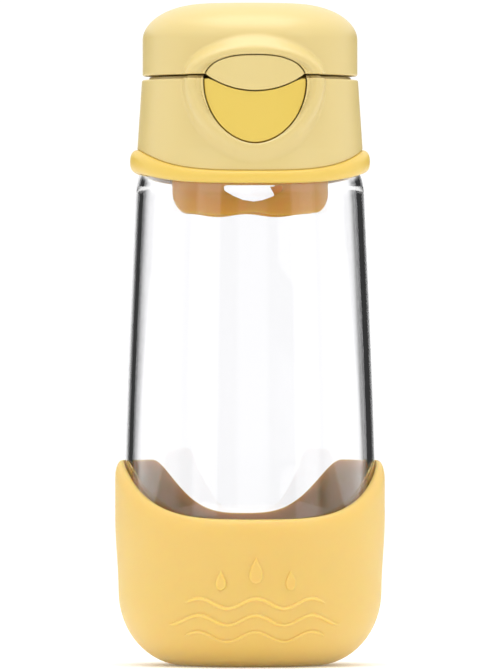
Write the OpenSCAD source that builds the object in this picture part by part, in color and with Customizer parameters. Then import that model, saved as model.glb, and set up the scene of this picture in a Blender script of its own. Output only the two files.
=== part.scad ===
// Kids' water bottle: a clear bottle in a silicone boot, closed by a screw cap whose
// flip cover is held by a push button. Millimetres, +Z up, front towards -Y.
// The origin is the middle of the foot that it stands on.

/* [Bottle] */
// Outer radius of the clear bottle at its shoulder
bottle_r = 34.4; // [34:0.1:44]
// How much wider the bottle is inside the boot than at its shoulder
bottle_flare = 3.4; // [0:0.1:5]
// Height at which the bottle starts to taper towards its shoulder
taper_z = 60; // [40:1:70]
// Height at which the shoulder starts to turn in
shoulder_z = 146; // [110:1:190]
// Radius of the shoulder
shoulder_r = 6.5; // [5:0.1:9]
// Thickness of the clear wall
bottle_wall = 2.2; // [1.4:0.1:3]
// Thickness of the bottle's floor
bottle_floor = 3; // [2:0.1:5]

/* [Neck and thread] */
// Flat ledge between the shoulder and the neck
neck_ledge = 1.5; // [0.5:0.1:3]
// Height of the neck above the shoulder
neck_h = 11.5; // [10.5:0.1:16]
// Thickness of the neck's wall
neck_wall = 2; // [1.4:0.1:2.4]
// Rise of the thread for one turn
thread_pitch = 4; // [3.4:0.1:4.8]
// Depth of each thread
thread_depth = 1.1; // [0.8:0.1:1.2]
// Turns of each thread, fewer where the neck is too short for them
thread_turns = 1.75; // [1.25:0.25:1.75]

/* [Boot] */
// Thickness of the silicone wall low down
boot_wall = 1.7; // [1.2:0.1:3]
// Extra thickness of the silicone wall higher up
boot_swell = 1; // [0.2:0.1:2]
// Thickness of the silicone floor
boot_floor = 2.6; // [1.8:0.1:4]
// Radius of the flat foot
foot_r = 20; // [14:0.5:26]
// Height of the rounded corner above the foot
foot_h = 22.5; // [14:0.5:28]
// Height of the boot's two side peaks
boot_peak_z = 62; // [50:1:75]
// Depth of the wide dip in the boot's edge at the front
dip_front = 17.3; // [4:0.1:24]
// Depth of the narrow dip in the boot's edge at the back
dip_back = 16.6; // [4:0.1:24]
// Gap between the boot and the bottle
boot_gap = 0.3; // [0.2:0.05:0.6]

/* [Cap] */
// Thickness of the cap's outer wall
cap_wall = 2; // [1.4:0.1:2.4]
// Thickness of the core's deck
core_deck = 2.4; // [1.8:0.1:4]
// Clear height between the core's deck and the cap's deck, where the latch slides
latch_room = 6; // [5.8:0.1:9]
// Thickness of the cap's deck
cap_deck = 2.4; // [1.8:0.1:4]
// How far the plug hangs below the shoulder's start
plug_drop = 10.3; // [4:0.1:20]
// Thickness of the plug's wall
plug_wall = 1.8; // [1.2:0.1:2.4]
// Thickness of the gasket
gasket_h = 2; // [1:0.1:3]

/* [Collar ring] */
// Height of the ring's lower edge at the front, above the shoulder's start
ring_low = -0.7; // [-3:0.1:0]
// Height of the ring's band at the front
ring_band = 3.8; // [3:0.1:6]
// Height of the ring's band at the sides
ring_band_side = 7; // [5:0.1:8]
// How much higher the ring's lower edge is at the sides
ring_rise = 3.5; // [0:0.1:4.5]

/* [Flip cover] */
// Height of the cover
cover_h = 21.9; // [20:0.1:30]
// Thickness of the cover's shell
cover_wall = 2; // [1.4:0.1:2.6]
// Thickness of the cover's liner
liner_wall = 1.5; // [1:0.1:2]
// Height of the rounded crown
crown_h = 11; // [8:0.1:13]
// Width of the rounded crown's corner
crown_w = 19; // [12:0.1:24]
// Gap between the cap and the cover
part_gap = 1.2; // [0.6:0.1:2]

/* [Push button] */
// Half width of the oval
oval_w = 15.6; // [12:0.1:16.5]
// Height of the oval above its widest line
oval_up = 8.6; // [6:0.1:11]
// Depth of the oval below its widest line
oval_down = 18.2; // [12:0.1:18.5]
// Width of the raised rim round the oval
rim_w = 2.5; // [1.5:0.1:3.5]
// Radius of the gently curved front face
face_r = 60; // [45:1:120]
// How far the front face stands ahead of the cap's wall
face_out = 2.9; // [2.4:0.1:4]
// Thickness of the button and of the tab
button_t = 2.2; // [1.6:0.1:2.6]
// Travel of the button
button_travel = 2.2; // [1:0.1:2.4]
// Gap round the button and the tab
button_gap = 0.35; // [0.25:0.05:0.6]
// Depth of the tab's curved lower edge
tab_sag = 5.1; // [2:0.1:6]

/* [Hinge] */
// Radius of the hinge knuckles
knuckle_r = 2.8; // [2.4:0.1:3.4]
// Radius of the hinge pin
pin_r = 1.2; // [0.8:0.1:1.5]
// Half length of the hinge pin
pin_half = 16; // [14:0.1:18]
// Running clearance between the pin and its bores
pin_fit = 0.05; // [0.02:0.01:0.1]

/* [Spout] */
// Radius of the spout's neck
spout_r = 9.2; // [7:0.1:10]
// Height of the spout above the core's deck
spout_h = 22.5; // [20:0.1:23]
// Radius of the drinking hole
spout_hole_r = 2.4; // [1.5:0.1:3]
// Radius of the spout's flange
flange_r = 14; // [12:0.1:15]

/* [Hidden] */

$fn = 96;
eps = 0.01;
reach = 60;            // longer than any cut needs to be
seal_gap = 0.05;       // left on each face of the gasket
fit = 0.1;             // gap between pieces that are fixed together
move_gap = 0.3;        // gap between pieces that move past each other

// Bottle and boot
low_r = bottle_r + bottle_flare;
bottle_z = boot_floor + boot_gap;
shoulder_top = shoulder_z + shoulder_r;
neck_r = bottle_r - shoulder_r - neck_ledge;
neck_in = neck_r - neck_wall;
neck_top = shoulder_top + neck_h;
thread_foot = 0.85;              // half height of a thread at its root
thread_z = shoulder_top + 2.7;
thread_run = min(thread_turns, (neck_top - 0.6 - thread_foot - thread_z) / thread_pitch);
boot_in = low_r + boot_gap;
boot_low_r = boot_in + boot_wall;
boot_r = boot_low_r + boot_swell;
boot_swell_z = foot_h + (boot_peak_z - dip_front - foot_h) * 0.95;
dip_front_angle = 95;
dip_back_angle = 53.5;

// Cap, from the neck up
skirt_in = neck_r + thread_depth + 0.4;
skirt_r = skirt_in + 2;
core_z = neck_top + gasket_h + 2 * seal_gap;
core_top = core_z + core_deck;
core_r = skirt_r + 0.7;
plug_r = neck_in - 0.8;
plug_z = shoulder_z - plug_drop;
deck_z = core_top + latch_room;
cap_top = deck_z + cap_deck;
cap_low_r = bottle_r - 0.3;
cap_top_r = cap_low_r - 1.4;
hem_r = bottle_r + 0.6;          // flared hem of the cap at the front and back
hem_in = bottle_r - 0.4;
ring_r = bottle_r + 1.9;
ring_in = bottle_r + 0.45;
ring_z = shoulder_z + ring_low;
ring_top_rise = ring_rise + ring_band_side - ring_band;
ring_side_top = ring_z + ring_rise + ring_band_side;
hem_top = shoulder_top + 1;
tube_r = skirt_r - 0.4;          // tube under the cap's deck that holds the core down

// Cover
cover_z = cap_top + part_gap;
cover_top = cover_z + cover_h;
cover_r = cap_top_r - 0.2;
crown_z = cover_top - crown_h;
liner_r = cover_r - cover_wall - 0.15;
liner_in = liner_r - liner_wall;
liner_z = cover_z + 0.5;

// Oval and button. A power of 1 makes a plain ellipse, less is squarer, more is pointed.
oval_z = cap_top - 1.5;
oval_top_power = 0.82;
oval_low_power = 1.06;
face_y = cap_top_r + face_out;
face_c = face_r - face_y;        // the face's centre lies this far behind the axis
rim_out = 0.3;
tab_edge_r = (pow(oval_w - 0.4, 2) + pow(tab_sag, 2)) / (2 * tab_sag);
tab_edge_z = cover_z - tab_sag + tab_edge_r;

// Latch, measured back from the cover's catch
catch_w = 11;
catch_t = 1.5;
catch_y = liner_in - 0.6;        // front face of the catch, ahead of the axis
catch_rise = 2.8;                // of the catch's foot above the core
catch_z = core_top + catch_rise;
ledge_l = 1.2;
ledge_h = 1.4;
nose_y = catch_y - catch_t - ledge_l - 0.2;
nose_l = 2;
tongue_x = 4.8;                  // half width of the latch's tongue and post
post_t = 1.8;
latch_z = core_top + 0.7;
latch_t = 1.6;
wing_x = 12;
wing_y = nose_y + 2.7;
wing_back = nose_y - 0.3;
spring_x = 9;
spring_r = 1.5;
spring_wire = 0.25;
spring_len = 6.6;
spring_z = latch_z + 2.4;
guide_back = wing_back - spring_len;
guide_t = 1.2;
guide_x = wing_x + 0.4;
guide_front = sqrt(pow(core_r, 2) - pow(guide_x + guide_t, 2));
tongue_y = face_y - button_t - 1.3;

// Hinge
hinge_y = cap_top_r + 1.3;
hinge_z = cap_top + part_gap / 2;
knuckle_in = 5;
knuckle_mid = 11;
coil_r = 2.1;
coil_wire = 0.3;

// Spout
spout_top = core_top + spout_h;
flange_t = 1.8;
throat_r = 6;                    // bore through the core and up the spout
valve_r = 9;                     // rim of the flow valve, held in the core's socket
stopper_r = 9;
vent_y = 18;                     // the vent lies this far behind the axis
vent_r = 1.2;

// Colours
white = "#f4f1ec";
pale = "#eed795";
pale_light = "#f1dc9d";
deep = "#f2d269";
orange = "#dd9f4e";

// Points on an elliptical arc, from angle a0 to a1
function arc_pts(cx, cz, a, b, a0, a1, n = 12) =
    [for (i = [0:n]) let (t = a0 + (a1 - a0) * i / n) [cx + a * cos(t), cz + b * sin(t)]];

// Bottle's outer radius between the taper's start and the shoulder
function taper_r(z) = low_r - bottle_flare * pow((z - taper_z) / (shoulder_z - taper_z), 1.2);
function taper_pts(inset, n = 10) =
    [for (i = [0:n]) let (z = taper_z + (shoulder_z - taper_z) * i / n) [taper_r(z) - inset, z]];

// One dip of the boot's edge: 1 in the middle, 0 from `wide` degrees outwards
function dip(a, wide, power) = abs(a) >= wide ? 0 : (1 + cos(180 * pow(abs(a) / wide, power))) / 2;
function boot_edge(a) = boot_peak_z - dip_front * dip(a, dip_front_angle, 1.7)
    - dip_back * dip(180 - abs(a), dip_back_angle, 1.5);

// Saddle wave of the ring's edges: 0 at the front and back, 1 at the sides
function wave(x) = let (s = min(1, abs(x) / ring_r)) 0.15 * pow(s, 2) + 0.85 * pow(s, 4);
function ring_bottom(x) = ring_z + ring_rise * wave(x);
function ring_top(x) = ring_z + ring_band + ring_top_rise * wave(x);

// Cap's outer radius at a height
function cap_r_at(z) = cap_low_r + (cap_top_r - cap_low_r)
    * (z - ring_side_top) / (cap_top - ring_side_top);

// Sweeps a closed section, given as [radius, height] offsets, round the Z axis
// while it climbs, which makes a thread or a coil
module helix(radius, pitch, turns, section, steps) {
    n = len(section);
    last = round(turns * steps);
    points = [
        for (i = [0:last], p = section)
            let (a = 360 * i / steps)
            [(radius + p[0]) * cos(a), (radius + p[0]) * sin(a), p[1] + pitch * i / steps]
    ];
    sides = [
        for (i = [0:last - 1], j = [0:n - 1])
            let (k = (j + 1) % n)
            [i * n + j, i * n + k, (i + 1) * n + k, (i + 1) * n + j]
    ];
    start = [for (j = [0:n - 1]) n - 1 - j];
    end = [for (j = [0:n - 1]) last * n + j];
    polyhedron(points, concat(sides, [start, end]), convexity = 10);
}

// Trapezoid of a thread: `way` is 1 outwards from a neck and -1 inwards from a skirt
module thread(radius, z, way) {
    root = 0.3;
    crest = 0.45;
    outer = [[-root, -thread_foot], [thread_depth, -crest], [thread_depth, crest], [-root, thread_foot]];
    inner = [[root, thread_foot], [-thread_depth, crest], [-thread_depth, -crest], [root, -thread_foot]];
    translate([0, 0, z]) helix(radius, thread_pitch, thread_run, way > 0 ? outer : inner, 30);
}

// Everything below an edge whose height z(x) is given by points along X
module below_edge(points) {
    side = points[0][1];
    translate([0, reach, 0])
        rotate([90, 0, 0])
            linear_extrude(2 * reach)
                polygon(concat([[-reach, side]], points, [[reach, side], [reach, -reach], [-reach, -reach]]));
}

// Everything above an edge whose heights are given at even steps of angle from the
// front, between the radii r0 and r1
module above_edge(heights, r0, r1) {
    n = len(heights);
    points = [
        for (i = [0:n - 1], p = [[r0, heights[i]], [r1, heights[i]], [r1, reach * 4], [r0, reach * 4]])
            let (a = 360 * i / n - 90)
            [p[0] * cos(a), p[0] * sin(a), p[1]]
    ];
    faces = [
        for (i = [0:n - 1], j = [0:3])
            let (next = (i + 1) % n, k = (j + 1) % 4)
            [i * 4 + j, i * 4 + k, next * 4 + k, next * 4 + j]
    ];
    polyhedron(points, faces, convexity = 10);
}

// The oval's outline, grown by `grow`, pushed along Y through the front
module oval(grow) {
    w = oval_w + grow;
    points = [
        for (i = [0:63])
            let (a = 360 * i / 64, up = sin(a) >= 0, power = up ? oval_top_power : oval_low_power)
            [w * sign(cos(a)) * pow(abs(cos(a)), power),
             (up ? oval_up + grow : oval_down + grow) * sign(sin(a)) * pow(abs(sin(a)), power)]
    ];
    translate([0, -cap_top_r * 0.6, oval_z])
        rotate([90, 0, 0])
            linear_extrude(reach)
                polygon(points);
}

// Solid behind the gently curved front face, `inset` behind it
module behind_face(inset) {
    translate([0, face_c, 0]) cylinder(r = face_r - inset, h = cover_top, $fn = 180);
}

// Disc that the tab's curved lower edge is part of
module tab_disc(radius) {
    translate([0, 0, tab_edge_z])
        rotate([90, 0, 0])
            cylinder(r = radius, h = reach);
}

// Cylinder along X at the hinge, between x0 and x1
module on_hinge(radius, x0, x1) {
    translate([x0, hinge_y, hinge_z])
        rotate([0, 90, 0])
            cylinder(r = radius, h = x1 - x0, $fn = 48);
}

module base_boot() {
    outer = concat(
        [[0, 0], [foot_r, 0]],
        arc_pts(foot_r, foot_h, boot_low_r - foot_r, foot_h, -90, 0),
        [[boot_r, boot_swell_z], [boot_r, boot_peak_z - 4], [boot_r - 1.2, boot_peak_z]]
    );
    inner = concat(
        [[boot_in, boot_peak_z]],
        arc_pts(foot_r, foot_h, boot_in - foot_r, foot_h - boot_floor, 0, -90),
        [[0, boot_floor]]
    );
    color(pale)
        difference() {
            rotate_extrude() polygon(concat(outer, inner));
            above_edge([for (a = [0:5:355]) boot_edge(a > 180 ? a - 360 : a)], foot_r, reach);
        }
}

// Inside of the bottle, from the neck down to its floor
function bottle_inside() =
    let (down = taper_pts(bottle_wall), n = len(down))
    concat(
        [[neck_in, shoulder_top - bottle_wall]],
        arc_pts(bottle_r - shoulder_r, shoulder_z,
            shoulder_r - bottle_wall, shoulder_r - bottle_wall, 90, 0),
        [for (i = [1:n - 1]) down[n - 1 - i]],
        arc_pts(foot_r, foot_h, low_r - foot_r - bottle_wall,
            foot_h - bottle_z - bottle_floor, 0, -90),
        [[0, bottle_z + bottle_floor]]
    );

module bottle_body() {
    outer = concat(
        [[0, bottle_z]],
        arc_pts(foot_r, foot_h, low_r - foot_r, foot_h - bottle_z, -90, 0),
        taper_pts(0),
        arc_pts(bottle_r - shoulder_r, shoulder_z, shoulder_r, shoulder_r, 10, 90),
        [[neck_r, shoulder_top], [neck_r, neck_top], [neck_in, neck_top]]
    );
    color("#e9eef2")
        union() {
            rotate_extrude() polygon(concat(outer, bottle_inside()));
            thread(neck_r, thread_z, 1);
        }
}

module cap_gasket() {
    color(white)
        translate([0, 0, neck_top + seal_gap])
            difference() {
                cylinder(r = neck_r + 0.1, h = gasket_h);
                translate([0, 0, -eps]) cylinder(r = plug_r + 0.3, h = gasket_h + 2 * eps);
            }
}

// Lower rim of the plug: two soft lobes, with rounded corners at the sides
function plug_rim(x) =
    let (corner = plug_r * 0.2, side = plug_r - corner, over = abs(x) - side)
    over <= 0 ? plug_z + 0.9 * pow(cos(180 * x / side), 2)
        : plug_z + 0.9 + 7.4 * (1 - sqrt(max(0, 1 - pow(over / corner, 2))));

module vent_hole() {
    translate([0, vent_y, 0]) cylinder(r = vent_r, h = reach * 4, $fn = 32);
}

module cap_core() {
    socket_r = valve_r + fit;
    rim = [for (a = [-90:3.75:90]) let (x = plug_r * sin(a)) [x, plug_rim(x)]];
    window = [[-3.4, plug_z + 4.2], [3.4, plug_z + 4.2], [8.6, plug_z + 8.2], [-8.6, plug_z + 8.2]];
    color(orange)
        union() {
            difference() {
                union() {
                    translate([0, 0, core_z]) cylinder(r = core_r, h = core_deck);
                    translate([0, 0, shoulder_top + 1.2])
                        cylinder(r = skirt_r, h = core_z - shoulder_top - 1.2 + eps);
                }
                translate([0, 0, shoulder_top]) cylinder(r = skirt_in, h = core_z - shoulder_top);
                cylinder(r = throat_r, h = reach * 4);
                vent_hole();
            }
            difference() {
                translate([0, 0, plug_z]) cylinder(r = plug_r, h = core_z - plug_z + eps);
                translate([0, 0, plug_z - eps]) cylinder(r = plug_r - plug_wall, h = core_z - plug_z + eps);
                below_edge(rim);
                translate([0, reach, 0])
                    rotate([90, 0, 0])
                        linear_extrude(2 * reach)
                            polygon(window);
                vent_hole();
            }
            translate([0, 0, core_z - 4])
                difference() {
                    cylinder(r = socket_r + 1.3, h = 4 + eps);
                    translate([0, 0, -eps]) cylinder(r = socket_r, h = 4 + eps);
                }
            thread(skirt_in, thread_z + thread_pitch / 2, -1);
        }
}

module cap_shell() {
    outer = [
        [0, ring_z], [hem_r, ring_z], [hem_r, ring_z + ring_band],
        [cap_low_r, ring_side_top], [cap_top_r, cap_top - 0.6], [cap_top_r - 0.6, cap_top],
        [0, cap_top]
    ];
    cavity = [
        [0, 0], [hem_in, 0], [hem_in, hem_top], [cap_low_r - cap_wall, hem_top],
        [cap_r_at(deck_z) - cap_wall, deck_z], [0, deck_z]
    ];
    hem = [for (a = [-90:3.75:90]) let (x = ring_r * sin(a)) [x, ring_top(x)]];
    color(pale)
        difference() {
            union() {
                difference() {
                    union() {
                        rotate_extrude() polygon(outer);
                        face_boss(0, cap_top);
                    }
                    rotate_extrude() polygon(cavity);
                    below_edge(hem);
                }
                difference() {
                    translate([0, 0, core_top]) cylinder(r = tube_r, h = latch_room + eps);
                    translate([0, 0, core_top - eps]) cylinder(r = tube_r - 1.6, h = latch_room + 3 * eps);
                    translate([-guide_x - 1.8, -reach, core_top - eps])
                        cube([2 * guide_x + 3.6, reach, latch_room]);
                }
                for (side = [-1, 1])
                    cap_knuckle(side);
            }
            front_window(cap_top + eps);
            translate([0, 0, deck_z - eps]) cylinder(r = spout_r + 1.8, h = reach);
            translate([-catch_w / 2 - 1, -catch_y - 1.6, deck_z - eps])
                cube([catch_w + 2, catch_t + ledge_l + 3, cap_deck + 2 * eps]);
            vent_hole();
            on_hinge(pin_r + pin_fit, -reach, reach);
            on_hinge(knuckle_r + move_gap, -knuckle_in, knuckle_in);
            for (side = [-1, 1])
                on_hinge(knuckle_r + move_gap, side > 0 ? knuckle_mid : -pin_half - move_gap,
                    side > 0 ? pin_half + move_gap : -knuckle_mid);
        }
}

// One knuckle of the cap, with the web that carries it
module cap_knuckle(side) {
    x0 = side > 0 ? knuckle_in : -knuckle_mid;
    width = knuckle_mid - knuckle_in;
    on_hinge(knuckle_r, x0, x0 + width);
    translate([x0, cap_top_r - 3, hinge_z - 7])
        cube([width, hinge_y + knuckle_r - cap_top_r + 3, 7]);
}

// Raised boss round the oval, between two heights
module face_boss(z0, z1) {
    intersection() {
        oval(rim_w);
        behind_face(-rim_out);
        translate([-reach, -reach, z0]) cube([2 * reach, 2 * reach, z1 - z0]);
    }
}

// Opening for the button and its travel, below a height
module front_window(z1) {
    difference() {
        intersection() {
            oval(0);
            translate([-reach, -reach, 0]) cube([2 * reach, 2 * reach, z1]);
        }
        behind_face(button_t + button_travel + 0.5);
    }
}

module collar_ring() {
    band = [
        [ring_in, ring_z], [ring_r - 0.8, ring_z], [ring_r, ring_z + 1.5],
        [ring_r, ring_side_top - 1.5], [ring_r - 1, ring_side_top],
        [cap_low_r - cap_wall + fit, ring_side_top], [cap_low_r - cap_wall + fit, hem_top],
        [ring_in, hem_top]
    ];
    low = [for (a = [-90:3.75:90]) let (x = ring_r * sin(a)) [x, ring_bottom(x)]];
    high = [for (a = [-90:3.75:90]) let (x = ring_r * sin(a)) [x, ring_top(x)]];
    color(deep)
        intersection() {
            difference() {
                rotate_extrude() polygon(band);
                below_edge(low);
            }
            below_edge(high);
        }
}

module spout() {
    profile = [
        [throat_r, core_top], [flange_r, core_top], [flange_r, core_top + flange_t],
        [spout_r, core_top + flange_t], [spout_r, deck_z + 1],
        [spout_r - 0.5, deck_z + cap_deck + 1], [spout_r + 0.2, spout_top - 9],
        [spout_r - 0.6, spout_top - 5], [spout_r - 2.2, spout_top - 1.4],
        [spout_r - 3.6, spout_top], [spout_hole_r, spout_top],
        [spout_hole_r, spout_top - 4], [throat_r, spout_top - 8]
    ];
    color(white) rotate_extrude() polygon(profile);
}

module spout_retainer() {
    color(pale)
        translate([0, 0, core_top + flange_t])
            difference() {
                union() {
                    cylinder(r = spout_r + 1.6, h = latch_room - flange_t);
                    cylinder(r = flange_r + 2, h = 1.8);
                }
                translate([0, 0, -eps]) cylinder(r = spout_r + fit, h = latch_room);
            }
}

module flow_valve() {
    profile = [
        [valve_r, core_z], [valve_r, core_z - 1.6], [6.4, core_z - 1.6], [3.2, core_z - 11],
        [0.5, core_z - 12], [0.5, core_z - 10], [4.8, core_z - 2], [4.8, core_z]
    ];
    color(white) rotate_extrude() polygon(profile);
}

module vent_valve() {
    color(white)
        translate([0, vent_y, 0]) {
            translate([0, 0, core_z - 0.8]) cylinder(r = 3, h = 0.8, $fn = 48);
            translate([0, 0, core_z - eps]) cylinder(r = vent_r - fit, h = core_deck + 2 * eps, $fn = 32);
            translate([0, 0, core_top]) cylinder(r = 1.9, h = 0.8, $fn = 48);
        }
}

module latch_guide() {
    floor_t = 0.5;
    wall_h = latch_room - 2 * move_gap;
    color(white)
        union() {
            translate([-guide_x - guide_t, -guide_front, core_top])
                cube([2 * (guide_x + guide_t), guide_front - guide_back + guide_t, floor_t]);
            translate([-guide_x - guide_t, -guide_back, core_top])
                cube([2 * (guide_x + guide_t), guide_t, wall_h]);
            for (side = [-1, 1])
                translate([side > 0 ? guide_x : -guide_x - guide_t, -guide_front, core_top])
                    cube([guide_t, guide_front - guide_back + guide_t, wall_h]);
        }
}

module button() {
    color(deep)
        union() {
            difference() {
                intersection() {
                    oval(-button_gap);
                    behind_face(0);
                    translate([-reach, -reach, 0]) cube([2 * reach, 2 * reach, cap_top - 0.2]);
                }
                behind_face(button_t);
                tab_disc(tab_edge_r + button_gap / 2);
            }
            translate([-tongue_x, -face_y + button_t - 0.4, latch_z])
                cube([2 * tongue_x, face_y - button_t + 0.4 - tongue_y, latch_t]);
        }
}

module button_latch() {
    wing_l = wing_y - wing_back;
    color(white)
        union() {
            translate([-tongue_x, -tongue_y, latch_z])
                cube([2 * tongue_x, tongue_y - nose_y + nose_l + post_t, latch_t]);
            translate([-wing_x, -wing_y, latch_z]) cube([2 * wing_x, wing_l, latch_t]);
            for (side = [-1, 1])
                translate([side * spring_x - 2.6, -wing_back - 1.4, latch_z]) cube([5.2, 1.4, 4.2]);
            translate([-tongue_x, -nose_y + nose_l, latch_z])
                cube([2 * tongue_x, post_t, latch_room - 0.7 - move_gap]);
            translate([-tongue_x, -nose_y, catch_z + ledge_h + move_gap])
                cube([2 * tongue_x, nose_l + eps, latch_room - catch_rise - ledge_h - 2 * move_gap]);
        }
}

// Two compression springs side by side, lying along Y behind the latch's wings
module button_springs() {
    turns = 5;
    section = [for (a = [0:60:300]) [spring_wire * cos(a), spring_wire * sin(a)]];
    pitch = (spring_len - 2 * spring_wire - 0.2) / turns;
    color("#b9bcc0")
        for (side = [-1, 1])
            translate([side * spring_x, -guide_back - spring_wire - 0.1, spring_z])
                rotate([90, 0, 0])
                    helix(spring_r, pitch, turns, section, 16);
}

// Shape of the cover's dome, moved inwards by `inset`, from z0 up to the crown
function dome_pts(inset, z0) = concat(
    [[cover_r - inset, z0]],
    arc_pts(cover_r - crown_w, crown_z, crown_w - inset, crown_h - inset, 0, 90),
    [[0, cover_top - inset]]
);

module flip_cover() {
    color(pale)
        difference() {
            union() {
                difference() {
                    union() {
                        rotate_extrude()
                            polygon(concat([[0, cover_z], [cover_r - 0.6, cover_z]],
                                dome_pts(0, cover_z + 0.6)));
                        face_boss(cover_z, cover_top);
                    }
                    rotate_extrude() polygon(concat([[0, 0]], dome_pts(cover_wall, 0)));
                }
                for (side = [-1, 1])
                    cover_knuckle(side);
            }
            intersection() {
                oval(0);
                tab_disc(tab_edge_r + reach / 4);
                difference() {
                    translate([-reach, -reach, 0]) cube([2 * reach, 2 * reach, cover_top]);
                    behind_face(button_t + 0.05);
                }
            }
            on_hinge(pin_r + pin_fit, -reach, reach);
            on_hinge(knuckle_r + move_gap, -knuckle_mid - move_gap, knuckle_mid + move_gap);
        }
}

// One knuckle of the cover, with the web that carries it
module cover_knuckle(side) {
    x0 = side > 0 ? knuckle_mid + move_gap : -pin_half;
    width = pin_half - knuckle_mid - move_gap;
    difference() {
        union() {
            on_hinge(knuckle_r, x0, x0 + width);
            translate([x0, cover_r - 6, hinge_z]) cube([width, hinge_y + knuckle_r - cover_r + 6, 6]);
        }
        rotate_extrude() polygon(concat([[0, 0]], dome_pts(cover_wall, 0)));
    }
}

module cover_liner() {
    boss_z = spout_top + 0.4;
    color(pale_light)
        difference() {
            union() {
                difference() {
                    rotate_extrude() polygon(concat([[0, liner_z]], dome_pts(cover_r - liner_r, liner_z)));
                    rotate_extrude() polygon(concat([[0, 0]], dome_pts(cover_r - liner_in, 0)));
                }
                translate([0, 0, boss_z])
                    cylinder(r = stopper_r + fit + 1.4, h = cover_top - cover_wall - liner_wall - boss_z);
            }
            translate([0, 0, boss_z - eps])
                cylinder(r = stopper_r + fit, h = cover_top - cover_wall - liner_wall - boss_z - 0.4);
            on_hinge(knuckle_r + move_gap, -reach, reach);
        }
}

module spout_stopper() {
    color(white)
        union() {
            translate([0, 0, spout_top + 0.2])
                cylinder(r = stopper_r, h = cover_top - cover_wall - liner_wall - spout_top - 0.7);
            translate([0, 0, spout_top - 1.6]) cylinder(r = spout_hole_r - 0.4, h = 2, $fn = 48);
        }
}

module latch_tab() {
    color(pale_light)
        difference() {
            intersection() {
                oval(-button_gap);
                behind_face(0);
                tab_disc(tab_edge_r - button_gap / 2);
            }
            behind_face(button_t);
        }
}

module cover_catch() {
    color(pale_light)
        union() {
            translate([-catch_w / 2, -catch_y, catch_z])
                cube([catch_w, catch_t, cover_z + 6 - catch_z]);
            translate([-catch_w / 2, -catch_y + catch_t - eps, catch_z])
                cube([catch_w, ledge_l + eps, ledge_h]);
        }
}

module hinge_pin() {
    color("#b9bcc0") on_hinge(pin_r, -pin_half, pin_half);
}

// Torsion spring round the middle of the pin
module hinge_spring() {
    turns = 7;
    section = [for (a = [0:60:300]) [coil_wire * cos(a), coil_wire * sin(a)]];
    pitch = 2 * (knuckle_in - 1) / turns;
    color("#b9bcc0")
        translate([-knuckle_in + 1, hinge_y, hinge_z])
            rotate([0, 90, 0])
                helix(coil_r, pitch, turns, section, 16);
}

base_boot();
bottle_body();
cap_gasket();
cap_core();
cap_shell();
collar_ring();
spout();
spout_retainer();
flow_valve();
vent_valve();
latch_guide();
button();
button_latch();
button_springs();
flip_cover();
cover_liner();
spout_stopper();
latch_tab();
cover_catch();
hinge_pin();
hinge_spring();
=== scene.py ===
import math

import bmesh
import bpy
from mathutils import Matrix, Vector


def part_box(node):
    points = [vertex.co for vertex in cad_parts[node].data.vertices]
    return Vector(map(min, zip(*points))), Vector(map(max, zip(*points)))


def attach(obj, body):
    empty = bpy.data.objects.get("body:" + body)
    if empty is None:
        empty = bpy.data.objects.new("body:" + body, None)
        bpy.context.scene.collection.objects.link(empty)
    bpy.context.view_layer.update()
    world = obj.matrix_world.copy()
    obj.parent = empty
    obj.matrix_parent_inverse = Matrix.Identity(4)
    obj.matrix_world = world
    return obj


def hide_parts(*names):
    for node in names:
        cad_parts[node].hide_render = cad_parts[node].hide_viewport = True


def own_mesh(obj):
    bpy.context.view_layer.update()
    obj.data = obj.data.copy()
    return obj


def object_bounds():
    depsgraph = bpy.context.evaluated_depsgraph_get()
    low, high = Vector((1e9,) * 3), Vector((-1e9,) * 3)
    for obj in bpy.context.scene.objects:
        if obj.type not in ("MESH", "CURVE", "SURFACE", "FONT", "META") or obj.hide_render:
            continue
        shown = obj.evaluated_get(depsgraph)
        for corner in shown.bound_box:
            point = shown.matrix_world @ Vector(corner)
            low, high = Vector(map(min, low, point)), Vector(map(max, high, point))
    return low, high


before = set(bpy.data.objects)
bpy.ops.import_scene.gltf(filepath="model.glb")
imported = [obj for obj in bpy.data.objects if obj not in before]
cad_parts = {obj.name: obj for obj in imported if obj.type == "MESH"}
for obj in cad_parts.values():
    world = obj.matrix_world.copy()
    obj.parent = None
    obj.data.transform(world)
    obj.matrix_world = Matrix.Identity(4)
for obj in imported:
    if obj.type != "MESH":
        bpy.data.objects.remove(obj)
cad_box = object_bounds()

MM = 0.001


# ---------------------------------------------------------------------------------------
# Studio: a white acrylic floor, white walls with low dark flags before and behind the
# bottle, which draw the dark edges of its clear wall, broad soft lights, and a long-lens camera
# that looks level at the middle of the bottle from just left of its front.
# ---------------------------------------------------------------------------------------
low, high = (Vector(corner) for corner in cad_box)
middle_z = (low.z + high.z) / 2
bottle_h = high.z - low.z


def linear(hex_colour):
    """The linear RGBA of an sRGB hex colour."""
    out = []
    for i in (1, 3, 5):
        c = int(hex_colour[i:i + 2], 16) / 255
        out.append(c / 12.92 if c <= 0.04045 else ((c + 0.055) / 1.055) ** 2.4)
    return (*out, 1.0)


def add_node(tree, kind, settings=None, links=None):
    """Adds a shader node, sets its values and links its inputs to other sockets."""
    node = tree.nodes.new(kind)
    for key, value in (settings or {}).items():
        if isinstance(key, str) and hasattr(node, key):
            setattr(node, key, value)
        else:
            node.inputs[key].default_value = value
    for key, socket in (links or {}).items():
        tree.links.new(socket, node.inputs[key])
    return node


def new_material(name):
    """An empty node material and its shader, already joined to the output."""
    material = bpy.data.materials.new(name)
    material.use_nodes = True
    tree = material.node_tree
    tree.nodes.clear()
    out = add_node(tree, "ShaderNodeOutputMaterial")
    shader = add_node(tree, "ShaderNodeBsdfPrincipled")
    tree.links.new(shader.outputs[0], out.inputs[0])
    return material, tree, shader


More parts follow.
